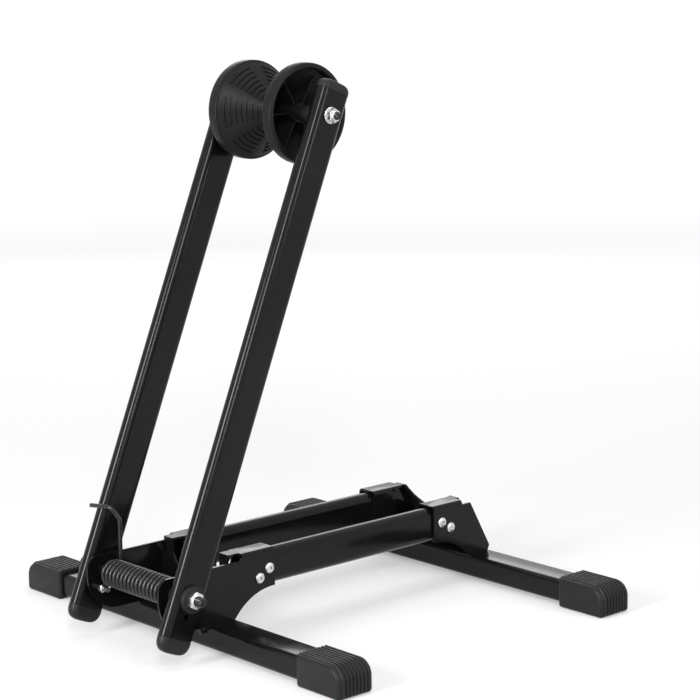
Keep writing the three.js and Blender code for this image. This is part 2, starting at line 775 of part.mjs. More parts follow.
const base = new THREE.Group();
piece(base, 'front_cross_tube', crossTube(), blackPaint, frontTubeX);
piece(base, 'rear_cross_tube', crossTube(), blackPaint, rearTubeX);
for (const [end, x] of [['front', frontTubeX], ['rear', rearTubeX]]) {
  pair(base, `${end}_foot_cap`, footCap(), blackPlastic, x);
}
piece(base, 'front_bracket', frontBracket(), blackPaint);
piece(base, 'rear_bracket', rearBracket(), blackPaint);
pair(base, 'rail', rail(), blackPaint);
for (const [end, places] of [['front', frontScrews], ['rear', rearScrews]]) {
  places.forEach(([x, z], i) => {
    pair(base, `${end}_screw_${i + 1}`, buttonScrew().translate([0, plateOuter, 0]), zinc, x, z);
  });
}

const pivotLength = 2 * bushOuter + pivotNutHeight + pivotTip;
const pivotBolt = bolt(pivotDiameter, hexagon(pivotNutWidth), pivotHeadHeight, pivotLength);
const pivotNut = collar(hexagon(pivotNutWidth), pivotDiameter + 2 * fit, -bushOuter - pivotNutHeight, -bushOuter);
const pivotSpacer = collar(circle(pivotSpacerDiameter), pivotDiameter + 2 * fit, plateOuter, armInner);
const pivotSleeve = collar(circle(sleeveDiameter), pivotDiameter + 2 * fit, -plateInner, plateInner);
piece(base, 'pivot_bolt', pivotBolt, blackSteel, 0, bushOuter, pivotHeight);
piece(base, 'pivot_nut', pivotNut, zinc, 0, 0, pivotHeight);
piece(base, 'pivot_sleeve', pivotSleeve, blackSteel, 0, 0, pivotHeight);
pair(base, 'pivot_spacer', pivotSpacer, blackPlastic, 0, pivotHeight);
piece(base, 'torsion_spring', torsionSpring(), blackSteel, 0, 0, pivotHeight);

const arms = new THREE.Group();
arms.position.z = pivotHeight;
arms.rotation.y = radians(restLean);
pair(arms, 'arm', armTube(), blackPaint);
pair(arms, 'arm_top_cap', armCap(topCapDome), blackPlastic, 0, armReach + armAbove);
pair(arms, 'arm_bottom_cap', armCap(bottomCapDome).rotate([0, 180, 0]), blackPlastic, 0, -armBelow);
pair(arms, 'flange_bush', flangeBush(), blackPlastic);

const stopLength = armOuter - stopNutY + stopNutHeight + stopTip;
const stopScrew = bolt(stopDiameter, circle(stopHeadDiameter), stopHeadHeight, stopLength);
const stopNut = collar(hexagon(stopNutWidth), stopDiameter + 2 * fit, stopNutY - stopNutHeight, stopNutY);
piece(arms, 'stop_screw', stopScrew, zinc, 0, armOuter, -stopRadius);
piece(arms, 'stop_nut', stopNut, zinc, 0, 0, -stopRadius);

const washerOuter = armOuter + axleWasher;
const axleLength = 2 * washerOuter + axleNutHeight + axleTip;
const axleBolt = bolt(axleDiameter, hexagon(axleNutWidth), axleHeadHeight, axleLength);
const axleNut = collar(hexagon(axleNutWidth), axleDiameter + 2 * fit, -washerOuter - axleNutHeight, -washerOuter);
const washer = collar(circle(axleWasherDiameter), axleDiameter + 2 * fit, armOuter, washerOuter);
const axleSpacer = collar(circle(axleSpacerDiameter), axleDiameter + 2 * fit, hubEnd + fit, armInner);
piece(arms, 'axle_bolt', axleBolt, blackSteel, 0, washerOuter, armReach);
piece(arms, 'axle_nut', axleNut, zinc, 0, 0, armReach);
pair(arms, 'axle_washer', washer, zinc, 0, armReach);
pair(arms, 'axle_spacer', axleSpacer, blackPlastic, 0, armReach);

const roller = new THREE.Group();
roller.position.z = armReach;
pair(roller, 'roller_half', rollerHalfBody(), blackPlastic);
arms.add(roller);

// The origin is on the floor, under the middle of the whole rack.
const model = new THREE.Group();
model.add(base, arms);
const bounds = new THREE.Box3().setFromObject(model, true);
const middle = bounds.getCenter(new THREE.Vector3());
model.position.set(-middle.x, -middle.y, -bounds.min.z);

const rack = new THREE.Group();
rack.add(model);

export default rack;
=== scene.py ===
import json
import math

import bmesh
import bpy
from bpy.props import FloatProperty, FloatVectorProperty, IntProperty, PointerProperty
from bpy.types import Operator, Panel, PropertyGroup
from mathutils import Matrix, Vector

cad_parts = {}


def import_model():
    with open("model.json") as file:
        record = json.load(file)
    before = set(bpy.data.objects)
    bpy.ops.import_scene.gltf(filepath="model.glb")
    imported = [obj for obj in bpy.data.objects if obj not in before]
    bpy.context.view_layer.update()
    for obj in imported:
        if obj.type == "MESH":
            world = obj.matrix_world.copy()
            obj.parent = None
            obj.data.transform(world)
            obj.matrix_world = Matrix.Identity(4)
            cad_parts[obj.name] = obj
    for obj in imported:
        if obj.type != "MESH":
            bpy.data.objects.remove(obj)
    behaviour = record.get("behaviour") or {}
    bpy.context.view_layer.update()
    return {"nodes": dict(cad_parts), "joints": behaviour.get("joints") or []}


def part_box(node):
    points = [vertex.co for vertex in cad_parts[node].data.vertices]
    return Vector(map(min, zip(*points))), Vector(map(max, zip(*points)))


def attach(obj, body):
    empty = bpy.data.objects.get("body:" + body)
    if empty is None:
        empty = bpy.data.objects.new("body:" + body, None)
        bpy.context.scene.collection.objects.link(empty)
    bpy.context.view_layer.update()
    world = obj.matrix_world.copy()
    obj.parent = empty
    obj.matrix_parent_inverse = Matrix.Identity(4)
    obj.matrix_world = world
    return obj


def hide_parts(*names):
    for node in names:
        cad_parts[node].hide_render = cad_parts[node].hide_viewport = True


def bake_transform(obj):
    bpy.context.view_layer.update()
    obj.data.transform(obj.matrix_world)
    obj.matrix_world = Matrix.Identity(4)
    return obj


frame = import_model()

bl_info = {
    "name": "Floor Bike Rack",
    "version": (1, 0, 0),
    "blender": (4, 5, 0),
    "location": "3D View > Sidebar > Bike Rack",
    "description": "Dresses the solids of a floor bike rack with detailed pieces and finishes",
    "category": "Object",
}

# ---------------------------------------------------------------- places, from the frame

joints = {joint["name"]: joint for joint in frame["joints"]}
PIVOT = Vector(joints["arm_pivot"]["pos_m"])
AXLE = Vector(joints["roller_spin"]["pos_m"])
REACH = (AXLE - PIVOT).length
LEAN = math.atan2(AXLE.x - PIVOT.x, AXLE.z - PIVOT.z)

# Local Z, along which round and long pieces are made, turned to lie along X or Y.
ALONG_X = Matrix.Rotation(math.pi / 2, 4, "Y")
ALONG_Y = Matrix.Rotation(-math.pi / 2, 4, "X")
TURNED_OVER = Matrix.Rotation(math.pi, 4, "X")
MIRROR_Y = Matrix.Scale(-1, 4, (0, 1, 0))

# The arms' own frame: the pivot axis at its origin, and the roller axle up its Z.
ARMS = Matrix.Translation(PIVOT) @ Matrix.Rotation(LEAN, 4, "Y")
ARM_INNER, ARM_OUTER = (corner.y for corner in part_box("right_arm"))
ARM_MIDDLE = (ARM_INNER + ARM_OUTER) / 2

MM = 0.001
FIT = 0.3 * MM
SMALLEST = 1e-6


def arm_ends(width):
    """How far the arm tubes reach above and below the pivot axis, along the arm."""
    low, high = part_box("right_arm")
    corner = width / 2 * math.sin(LEAN)
    up = (high.z - PIVOT.z - corner) / math.cos(LEAN)
    down = (PIVOT.z - low.z - corner) / math.cos(LEAN)
    return up, down


def half_widths(node):
    """Half of a node's box along each axis."""
    low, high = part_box(node)
    return (high - low) / 2


def middle(node):
    """The middle of a node's box."""
    low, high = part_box(node)
    return (low + high) / 2


# ---------------------------------------------------------------- settings


def length(name, description, millimetres):
    return FloatProperty(name=name, description=description, default=millimetres * MM, min=0,
                         precision=4, unit="LENGTH", subtype="DISTANCE")


def count(name, description, value):
    return IntProperty(name=name, description=description, default=value, min=1)


def colour(name, description, value):
    return FloatVectorProperty(name=name, description=description, default=value, min=0, max=1,
                               size=3, subtype="COLOR")


class RackSizes(PropertyGroup):
    """Sizes that the solids' boxes don't give."""
    wall: length("Wall", "Wall of every tube", 1.5)
    tube_corner: length("Tube corner", "Corner radius of the cross tubes", 5)
    arm_width: length("Arm width", "The arms' flat oval tube, across its wide side", 39)
    edge_round: length("Edge round", "Rounding of cut and pressed edges", 0.45)
    toe_radius: length("Toe radius", "Outer top edge of a foot cap", 17)
    foot_edge: length("Foot edge", "Other edges of a foot cap", 4)
    rib_height: length("Rib height", "Ribs over the foot caps", 1.2)
    rib_width: length("Rib width", "Ribs over the foot caps", 2.6)
    foot_ribs: count("Foot ribs", "Ribs on each foot cap", 8)
    cap_lip: length("Cap lip", "How far an arm cap stands out round its tube", 0.1)
    cap_rim: length("Cap rim", "Straight part of an arm cap", 3)
    top_dome: length("Top dome", "Rise of the dome on an arm's upper end", 7.5)
    bottom_dome: length("Bottom dome", "Rise of the dome on an arm's lower end", 13)
    cap_plug: length("Cap plug", "How deep an arm cap reaches into its tube", 12)
    pivot_bolt: length("Pivot bolt", "Diameter of the bolt that the arms turn on", 10)
    pivot_nut: length("Pivot nut", "The pivot nut and the bolt's head, across flats", 16)
    bush: length("Bush", "Diameter of the bushes in the arms", 14)
    axle_bolt: length("Axle bolt", "Diameter of the bolt that the roller turns on", 8)
    axle_nut: length("Axle nut", "The axle nut and the bolt's head, across flats", 13)
    stop_screw: length("Stop screw", "Diameter of the stop screw", 5)
    stop_head: length("Stop screw head", "Diameter of the stop screw's head", 8.5)
    stop_nut: length("Stop nut", "The stop screw's nut, across flats", 8)
    socket: length("Socket", "Hexagon sockets of the screws, across flats", 4)
    thread: length("Thread", "Threaded length of the bolts", 16)
    wire: length("Spring wire", "Diameter of the torsion spring's wire", 4.5)
    coil: length("Spring coil", "Outside diameter of the torsion spring", 29.5)
    curls: count("Curls", "Curls of the torsion spring, less a part of the last", 16)
    ridge_height: length("Ridge height", "Grip ridges in the roller's groove", 1.4)
    ridges: count("Ridges", "Grip ridges in each sector", 8)
    sectors: count("Sectors", "Sectors of grip ridges on a roller half", 6)
    dish_ribs: count("Dish ribs", "Ribs in a roller half's outer side", 6)
    dish_depth: length("Dish depth", "From a roller half's rim down to its ribs", 15)
    hub_inset: length("Hub inset", "From a roller half's rim down to its hub's end", 13)
    thread_pitch: length("Thread pitch", "Pitch of the bolts' threads", 1.25)


class RackColours(PropertyGroup):
    """Colours of the finishes, the floor and the background."""
    paint: colour("Paint", "Black powder coat on tubes and brackets", (0.0045, 0.0041, 0.0042))
    plastic: colour("Plastic", "Moulded feet, caps, bushes and roller", (0.0125, 0.012, 0.012))
    roller: colour("Roller", "The roller's smoother black plastic", (0.0095, 0.0091, 0.0091))
    spring: colour("Spring", "Blackened spring steel", (0.015, 0.0144, 0.0144))
    zinc: colour("Zinc", "Zinc-plated nuts, washers and screws", (0.62, 0.62, 0.63))
    floor: colour("Floor", "Pale studio floor", (0.62, 0.62, 0.62))


# ---------------------------------------------------------------- finishes


def shader(name, base, roughness, metallic=0.0, specular=0.5):
    """A new material with its nodes, its shader and the object's coordinates in metres."""
    material = bpy.data.materials.new(name)
    material.use_nodes = True
    nodes = material.node_tree.nodes
    surface = nodes["Principled BSDF"]
    surface.inputs["Base Color"].default_value = (*base, 1)
    surface.inputs["Roughness"].default_value = roughness
    surface.inputs["Metallic"].default_value = metallic
    surface.inputs["Specular IOR Level"].default_value = specular
    place = nodes.new("ShaderNodeTexCoord").outputs["Object"]
    return material, surface, place


def noise(material, place, scale, detail=3.0):
    """A noise whose grains are about 1/scale metres wide."""
    node = material.node_tree.nodes.new("ShaderNodeTexNoise")
    node.inputs["Scale"].default_value = scale
    node.inputs["Detail"].default_value = detail
    material.node_tree.links.new(place, node.inputs["Vector"])
    return node.outputs["Fac"]


def spread(material, value, low, high, target):
    """Feeds a noise, stretched from low to high, to a shader socket."""
    node = material.node_tree.nodes.new("ShaderNodeMapRange")
    node.inputs["From Min"].default_value = 0.3
    node.inputs["From Max"].default_value = 0.7
    node.inputs["To Min"].default_value = low
    node.inputs["To Max"].default_value = high
    material.node_tree.links.new(value, node.inputs["Value"])
    material.node_tree.links.new(node.outputs["Result"], target)


def tint(material, value, dark, light, target):
    """Feeds a colour between two shades to a shader socket."""
    node = material.node_tree.nodes.new("ShaderNodeValToRGB")
    node.color_ramp.elements[0].position = 0.3
    node.color_ramp.elements[1].position = 0.7
    node.color_ramp.elements[0].color = (*dark, 1)
    node.color_ramp.elements[1].color = (*light, 1)
    material.node_tree.links.new(value, node.inputs["Fac"])
    material.node_tree.links.new(node.outputs["Color"], target)


def relief(material, surface, value, depth, strength):
    """A fine bump, depth metres deep."""
    node = material.node_tree.nodes.new("ShaderNodeBump")
    node.inputs["Distance"].default_value = depth
    node.inputs["Strength"].default_value = strength
    material.node_tree.links.new(value, node.inputs["Height"])
    material.node_tree.links.new(node.outputs["Normal"], surface.inputs["Normal"])


def shades(base, spread_by):
    """A darker and a lighter shade of a colour."""
    return [part * (1 - spread_by) for part in base], [part * (1 + spread_by) for part in base]


def powder_coat(colours):
    """Satin black powder coat, with its faint orange peel and uneven gloss."""
    material, surface, place = shader("powder_coat", colours.paint, 0.18, specular=0.18)
    tint(material, noise(material, place, 14), *shades(colours.paint, 0.25), surface.inputs["Base Color"])
    spread(material, noise(material, place, 60), 0.15, 0.21, surface.inputs["Roughness"])
    relief(material, surface, noise(material, place, 850, 2), 0.05 * MM, 0.1)
    return material


def moulded_plastic(colours):
    """Black moulded plastic with a fine grain."""
    material, surface, place = shader("moulded_plastic", colours.plastic, 0.42, specular=0.18)
    tint(material, noise(material, place, 35), *shades(colours.plastic, 0.2), surface.inputs["Base Color"])
    spread(material, noise(material, place, 220), 0.38, 0.48, surface.inputs["Roughness"])
    relief(material, surface, noise(material, place, 1600, 2), 0.08 * MM, 0.3)
    return material


def roller_plastic(colours):
    """The roller's darker and smoother plastic."""
    material, surface, place = shader("roller_plastic", colours.roller, 0.36, specular=0.1)
    tint(material, noise(material, place, 35), *shades(colours.roller, 0.2), surface.inputs["Base Color"])
    spread(material, noise(material, place, 220), 0.32, 0.42, surface.inputs["Roughness"])
    relief(material, surface, noise(material, place, 1600, 2), 0.06 * MM, 0.2)
    return material


def blackened_steel(colours):
    """Oiled black spring steel, with drawing marks along the wire."""
    material, surface, place = shader("blackened_steel", colours.spring, 0.2, 0.35, 0.5)
    tint(material, noise(material, place, 120), *shades(colours.spring, 0.35), surface.inputs["Base Color"])
    spread(material, noise(material, place, 400), 0.16, 0.26, surface.inputs["Roughness"])
    relief(material, surface, noise(material, place, 1400, 2), 0.04 * MM, 0.2)
    return material


def zinc_plate(colours):
    """Bright zinc on nuts, washers and screws."""
    material, surface, place = shader("zinc_plate", colours.zinc, 0.3, 1.0)
    tint(material, noise(material, place, 300), *shades(colours.zinc, 0.1), surface.inputs["Base Color"])
    spread(material, noise(material, place, 700), 0.22, 0.36, surface.inputs["Roughness"])
    relief(material, surface, noise(material, place, 1800, 2), 0.03 * MM, 0.2)
    return material


FINISHES = {
    "black_paint": powder_coat,
    "black_plastic": moulded_plastic,
    "black_steel": blackened_steel,
    "zinc": zinc_plate,
}


def finish_of(slot, piece):
    """The material for a piece in one of the record's material slots, made once."""
    make = roller_plastic if piece.startswith("roller") else FINISHES[slot]
    name = make.__name__
    return bpy.data.materials.get(name) or make(bpy.context.scene.rack_colours)


# ---------------------------------------------------------------- modelling


def put(bm, matrix):
    """Moves a whole body."""
    bmesh.ops.transform(bm, matrix=matrix, verts=bm.verts)
    return bm


def ring(bm, width, height, corner, z, segments):
    """A closed loop of edges: a rectangle with round corners, a flat oval or a circle."""
    half_step = Matrix.Rotation(math.pi / segments, 4, "Z")
    made = bmesh.ops.create_circle(bm, segments=segments, radius=corner,
                                   matrix=Matrix.Translation((0, 0, z)) @ half_step)
    for vert in made["verts"]:
        vert.co.x += math.copysign(width / 2 - corner, vert.co.x)
        vert.co.y += math.copysign(height / 2 - corner, vert.co.y)
    return edges_of(made["verts"])


def points_in(geometry):
    """The points among new points, edges and faces."""
    return [item for item in geometry if isinstance(item, bmesh.types.BMVert)]


def edges_of(verts):
    """The edges that join some of a body's points."""
    chosen = set(verts)
    edges = {edge for vert in chosen for edge in vert.link_edges}
    return [edge for edge in edges if chosen.issuperset(edge.verts)]


def loft(bm, rings, closed=False):
    """Walls between loops in turn, and lids on the first and last unless they meet."""
    for near, far in zip(rings, rings[1:]):
        bmesh.ops.bridge_loops(bm, edges=near + far)
    if closed:
        bmesh.ops.bridge_loops(bm, edges=rings[-1] + rings[0])
    else:
        for end in (rings[0], rings[-1]):
            bmesh.ops.edgeloop_fill(bm, edges=end)
    return bm


def tube(width, height, corner, wall, low, high, segments):
    """An open tube along Z, its bore eased at both ends."""
    bm = bmesh.new()
    ease = 0.2 * MM
    outer = (width, height, corner)
    inner = (width - 2 * wall, height - 2 * wall, corner - wall)
    ends = [(outer, low), (outer, high), (inner, high - ease), (inner, low + ease)]
    return loft(bm, [ring(bm, *size, z, segments) for size, z in ends], closed=True)


def turned(profile, steps=48):
    """A body turned about Z from its outline of (radius, height) corners.

    An outline that starts and ends on the axis makes a solid body, and any other a ring."""
    bm = bmesh.new()
    verts = [bm.verts.new((radius, 0, height)) for radius, height in profile]
    edges = [bm.edges.new(ends) for ends in zip(verts, verts[1:])]
    if profile[0][0] > 0:
        edges.append(bm.edges.new((verts[-1], verts[0])))
    bmesh.ops.spin(bm, geom=verts + edges, cent=(0, 0, 0), axis=(0, 0, 1), angle=2 * math.pi,
                   steps=steps, use_merge=True)
    bmesh.ops.remove_doubles(bm, verts=bm.verts, dist=SMALLEST)
    bmesh.ops.recalc_face_normals(bm, faces=bm.faces)
    return bm


def collar(radius, bore, low, high, edge=0.4 * MM):
    """A washer, spacer or sleeve with eased edges."""
    return turned([
        (bore, low), (radius - edge, low), (radius, low + edge),
        (radius, high - edge), (radius - edge, high), (bore, high),
    ])


def block(size, centre):
    """A plain block, as a start or as a cutter."""
    bm = bmesh.new()
    bmesh.ops.create_cube(bm, size=1, matrix=Matrix.Translation(centre) @ Matrix.Diagonal((*size, 1)))
    return bm


def combined(bm, other, operation):
    """One body with another cut away from it, added to it, or kept where they meet."""
    shapes = []
    for source in (bm, other):
        bmesh.ops.recalc_face_normals(source, faces=source.faces)
        mesh = bpy.data.meshes.new("scratch")
        source.to_mesh(mesh)
        source.free()
        shape = bpy.data.objects.new("scratch", mesh)
        bpy.context.scene.collection.objects.link(shape)
        shapes.append(shape)
    modifier = shapes[0].modifiers.new("combine", "BOOLEAN")
    modifier.object = shapes[1]
    modifier.operation = operation
    modifier.solver = "EXACT"
    graph = bpy.context.evaluated_depsgraph_get()
    mesh = bpy.data.meshes.new_from_object(shapes[0].evaluated_get(graph))
    result = bmesh.new()
    result.from_mesh(mesh)
    bpy.data.meshes.remove(mesh)
    for shape in shapes:
        bpy.data.meshes.remove(shape.data)
    bmesh.ops.remove_doubles(result, verts=result.verts, dist=SMALLEST)
    return result


def cut(bm, *tools):
    for tool in tools:
        bm = combined(bm, tool, "DIFFERENCE")
    return bm


def joined(bm, *others):
    for other in others:
        bm = combined(bm, other, "UNION")
    return bm


def solid_of(node):
    """A merged copy of a CAD node's mesh, with its flat faces whole."""
    bm = bmesh.new()
    bm.from_mesh(frame["nodes"][node].data)
    bmesh.ops.remove_doubles(bm, verts=bm.verts, dist=SMALLEST)
    bmesh.ops.dissolve_limit(bm, angle_limit=math.radians(1), verts=bm.verts, edges=bm.edges)
    return bm


def finished(bm, name, nodes, body, slot, edge=0.0, sharp=32):
    """Makes a body a piece that stands for its CAD nodes, and rides on a CAD body."""
    bmesh.ops.recalc_face_normals(bm, faces=bm.faces)
    mesh = bpy.data.meshes.new(name)
    bm.to_mesh(mesh)
    bm.free()
    mesh.shade_smooth()
    mesh.set_sharp_from_angle(angle=math.radians(sharp))
    mesh.materials.append(finish_of(slot, name))
    piece = bpy.data.objects.new(name, mesh)
    bpy.context.scene.collection.objects.link(piece)
    if edge:
        rounding = piece.modifiers.new("rounded edges", "BEVEL")
        rounding.width = edge
        rounding.segments = 2
        rounding.limit_method = "ANGLE"
        rounding.angle_limit = math.radians(sharp)
        rounding.harden_normals = True
    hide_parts(*nodes)
    if body:
        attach(piece, body)
    return piece


def finished_pair(bm, name, body, slot, edge=0.0, sharp=32):
    """The right-hand body of a pair, and its mirror image on the left."""
    for side, turn in (("left", MIRROR_Y), ("right", Matrix.Identity(4))):
        finished(put(bm.copy(), turn), f"{name}_{side}", [f"{side}_{name}"], body, slot, edge, sharp)
    bm.free()


# ---------------------------------------------------------------- fasteners


def hexagon(across, low, high, chamfer):
    """A hexagon along Z, its corners turned off at the top."""
    bm = bmesh.new()
    radius = across / math.sqrt(3)
    rings = []
    for z in (low, high):
        made = bmesh.ops.create_circle(bm, segments=6, radius=radius, matrix=Matrix.Translation((0, 0, z)))
        rings.append(edges_of(made["verts"]))
    loft(bm, rings)
    spare, slope, face_share = 0.1, 0.6, 0.96       # room round the corners, the chamfer, the end face
    outside = radius * (1 + spare)
    turned_off = turned([
        (0, low), (outside, low), (outside, high - chamfer - radius * spare * slope),
        (across / 2 * face_share, high), (0, high),
    ])
    return combined(bm, turned_off, "INTERSECT")


def threaded(radius, low, high, pitch, root=0.6 * MM):
    """A screw thread's outline up the outside of a bar, from low to high."""
    profile = []
    groove_end, crest_start, crest_end = 0.1 * pitch, 0.5 * pitch, 0.6 * pitch
    turns = max(int((high - low - root) / pitch), 1)
    for i in range(turns):
        z = low + i * pitch
        profile += [(radius - root, z + groove_end), (radius, z + crest_start), (radius, z + crest_end)]
    profile += [(radius - root, high - root), (radius - 1.5 * root, high), (0, high)]
    return profile


def bolt(sizes, node, across, head_height, radius, centre):
    """A hexagon bolt along Y: its head on the right, and its threaded tip on the left."""
    low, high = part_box(node)
    under_head = high.y - head_height
    tip = -low.y
    shank = turned([
        (0, -under_head - head_height / 2), (radius, -under_head - head_height / 2),
        (radius, tip - sizes.thread), *threaded(radius, tip - sizes.thread, tip, sizes.thread_pitch),
    ], 40)
    put(shank, Matrix.Translation(centre) @ ALONG_Y @ TURNED_OVER)
    head = put(hexagon(across, under_head, high.y, 0.7 * MM), Matrix.Translation(centre) @ ALONG_Y)
    return joined(shank, head)


def nut(across, bore, low, high, nylon=0.0):
    """A hexagon nut along Z from low to high, with a round collar where it grips with nylon."""
    body = hexagon(across, low, high - nylon, 0.8 * MM)
    if nylon:
        radius = across * 0.46
        top = high - 0.5 * nylon
        body = joined(body, turned([
            (0, low), (radius, low), (radius, top), (radius * 0.93, high - 0.1 * nylon),
            (radius * 0.82, high), (0, high),
        ]))
    bored = turned([(0, low - MM), (bore, low - MM), (bore, high + MM), (0, high + MM)], 40)
    return cut(body, bored)


def button_screw(radius, rise, socket):
    """A button-head screw's head and shank, with the underside of the head at 0."""
    steps, fullness, upright = 6, 0.55, 0.3         # the dome's steps, its shape, and the edge below it
    dome = [(radius * math.cos(angle) ** fullness, upright * rise + (1 - upright) * rise * math.sin(angle))
            for angle in (0.5 * math.pi * step / steps for step in range(steps))]
    shank, reach = radius * 0.52, 8 * MM
    body = turned([
        (0, -reach), (shank, -reach), (shank, 0), (radius, 0), *dome, (0, rise),
    ], 40)
    recess = hexagon(socket, rise * 0.25, rise * 2, 0)
    return cut(body, recess)


# ---------------------------------------------------------------- pieces of the base


class RACK_OT_tubes(Operator):
    """Cross tubes and rails, with their walls and rounded corners"""
    bl_idname = "rack.tubes"
    bl_label = "Tubes"

    def execute(self, context):
        sizes = context.scene.rack_sizes
        for end in ("front", "rear"):
            node = f"{end}_cross_tube"
            half, centre = half_widths(node), middle(node)
            body = tube(2 * half.x, 2 * half.z, sizes.tube_corner, sizes.wall, -half.y, half.y, 40)
            finished(put(body, Matrix.Translation(centre) @ ALONG_Y), f"{node}_painted", [node], "base",
                     "black_paint")
        half, centre = half_widths("right_rail"), middle("right_rail")
        body = tube(2 * half.z, 2 * half.y, half.y, sizes.wall, -half.x, half.x, 40)
        finished_pair(put(body, Matrix.Translation(centre) @ ALONG_X), "rail", "base", "black_paint")
        return {"FINISHED"}


def foot_cap(sizes, node):
    """The ribbed cap on the right end of a cross tube."""
    low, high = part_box(node)
    size = high - low
    rib = sizes.rib_height
    body_size = Vector((size.x, size.y - rib, size.z - rib))
    bm = block(body_size, low + body_size / 2)
    top, outer = low.z + body_size.z, low.y + body_size.y
    bm.verts.ensure_lookup_table()

    def on(edge, axis, value):
        return all(abs(vert.co[axis] - value) < SMALLEST for vert in edge.verts)

    toe = [edge for edge in bm.edges if on(edge, 1, outer) and on(edge, 2, top)]
    bmesh.ops.bevel(bm, geom=toe, offset=sizes.toe_radius - rib, segments=12, profile=0.5,
                    affect="EDGES", material=-1)
    flanks = {edge for edge in bm.edges if on(edge, 0, low.x) or on(edge, 0, high.x)}
    soles = {edge for edge in bm.edges if on(edge, 2, low.z) and (on(edge, 1, low.y) or on(edge, 1, outer))}
    bmesh.ops.bevel(bm, geom=list(flanks | soles), offset=sizes.foot_edge, segments=5, profile=0.5,
                    affect="EDGES", material=-1)

    pitch = (size.x - 2 * sizes.foot_edge) / sizes.foot_ribs
    centres = [middle(node).x + (i - (sizes.foot_ribs - 1) / 2) * pitch for i in range(sizes.foot_ribs)]
    for x in centres:
        for side in (-1, 1):
            bmesh.ops.bisect_plane(bm, geom=bm.verts[:] + bm.edges[:] + bm.faces[:],
                                   plane_co=(x + side * sizes.rib_width / 2, 0, 0), plane_no=(1, 0, 0))
    bm.normal_update()
    ribs = []
    for face in bm.faces:
        x = face.calc_center_median().x
        on_rib = any(abs(x - centre) < sizes.rib_width / 2 for centre in centres)
        outside = face.normal.z > 0.02 or face.normal.y > 0.9
        if on_rib and outside and face.calc_center_median().y > low.y + SMALLEST:
            ribs.append(face)
    rib_slope = 0.5 * MM
    bmesh.ops.inset_region(bm, faces=ribs, thickness=rib_slope, depth=rib, use_even_offset=True)

    tube_node = node.split("_", 1)[1].replace("foot_cap", "cross_tube")
    half, centre = half_widths(tube_node), middle(tube_node)
    pocket = bmesh.new()
    width, height = 2 * (half.x + FIT), 2 * (half.z + FIT)
    corner = sizes.tube_corner + FIT
    mouth, end = low.y - 5 * MM, half.y + FIT
    loft(pocket, [ring(pocket, width, height, corner, z, 40) for z in (mouth, end)])
    return cut(bm, put(pocket, Matrix.Translation(centre) @ ALONG_Y))


class RACK_OT_foot_caps(Operator):
    """Ribbed plastic caps on the ends of the cross tubes"""
    bl_idname = "rack.foot_caps"
    bl_label = "Foot caps"

    def execute(self, context):
        for end in ("front", "rear"):
            body = foot_cap(context.scene.rack_sizes, f"right_{end}_foot_cap")
            finished_pair(body, f"{end}_foot_cap", "base", "black_plastic", edge=0.35 * MM)
        return {"FINISHED"}


class RACK_OT_brackets(Operator):
    """Folded sheet brackets that carry the rails, the pivot and the saddles"""
    bl_idname = "rack.brackets"
    bl_label = "Brackets"

    def execute(self, context):
        for node in ("front_bracket", "rear_bracket"):
            finished(solid_of(node), f"{node}_painted", [node], "base", "black_paint",
                     edge=context.scene.rack_sizes.edge_round)
        return {"FINISHED"}


class RACK_OT_screws(Operator):
    """Button-head screws through the brackets into the rails"""
    bl_idname = "rack.screws"
    bl_label = "Bracket screws"

    def execute(self, context):
        for end in ("front", "rear"):
            for number in (1, 2):
                name = f"{end}_screw_{number}"
                centre = middle(f"right_{name}")
                radius = half_widths(f"right_{name}").x
                seat = Vector((centre.x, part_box("front_bracket")[1].y, centre.z))
                rise = 0.8 * (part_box(f"right_{name}")[1].y - seat.y)
                body = button_screw(radius, rise, context.scene.rack_sizes.socket)
                finished_pair(put(body, Matrix.Translation(seat) @ ALONG_Y), name, "base", "zinc")
        return {"FINISHED"}


class RACK_OT_pivot(Operator):
    """The pivot bolt with its nut, sleeve and spacers"""
    bl_idname = "rack.pivot"
    bl_label = "Arm pivot"

    def execute(self, context):
        sizes = context.scene.rack_sizes
        centre = Vector((PIVOT.x, 0, PIVOT.z))
        place = Matrix.Translation(centre) @ ALONG_Y
        radius = sizes.pivot_bolt / 2
        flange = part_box("right_flange_bush")[1].y
        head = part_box("pivot_bolt")[1].y - flange
        finished(bolt(sizes, "pivot_bolt", sizes.pivot_nut, head, radius, centre),
                 "pivot_bolt_blackened", ["pivot_bolt"], "base", "black_steel")
        low, high = (abs(corner.y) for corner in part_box("pivot_nut")[::-1])
        body = nut(sizes.pivot_nut, radius + FIT, low, high, nylon=2 * MM)
        finished(put(body, place @ TURNED_OVER), "pivot_nut_plated", ["pivot_nut"], "base", "zinc")
        half = half_widths("pivot_sleeve")
        body = collar(half.x, radius + FIT, -half.y, half.y)
        finished(put(body, place), "pivot_sleeve_steel", ["pivot_sleeve"], "base", "black_steel")
        low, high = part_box("right_pivot_spacer")
        body = collar(half_widths("right_pivot_spacer").x, radius + FIT, low.y, high.y, 0.6 * MM)
        finished_pair(put(body, place), "pivot_spacer", "base", "black_plastic")
        return {"FINISHED"}


# ---------------------------------------------------------------- torsion spring


def carried_on(bm, loop, vector):
    """Carries a loop of edges on by a straight stretch."""
    verts = points_in(bmesh.ops.extrude_edge_only(bm, edges=loop)["geom"])
    bmesh.ops.translate(bm, vec=vector, verts=verts)
    return edges_of(verts)


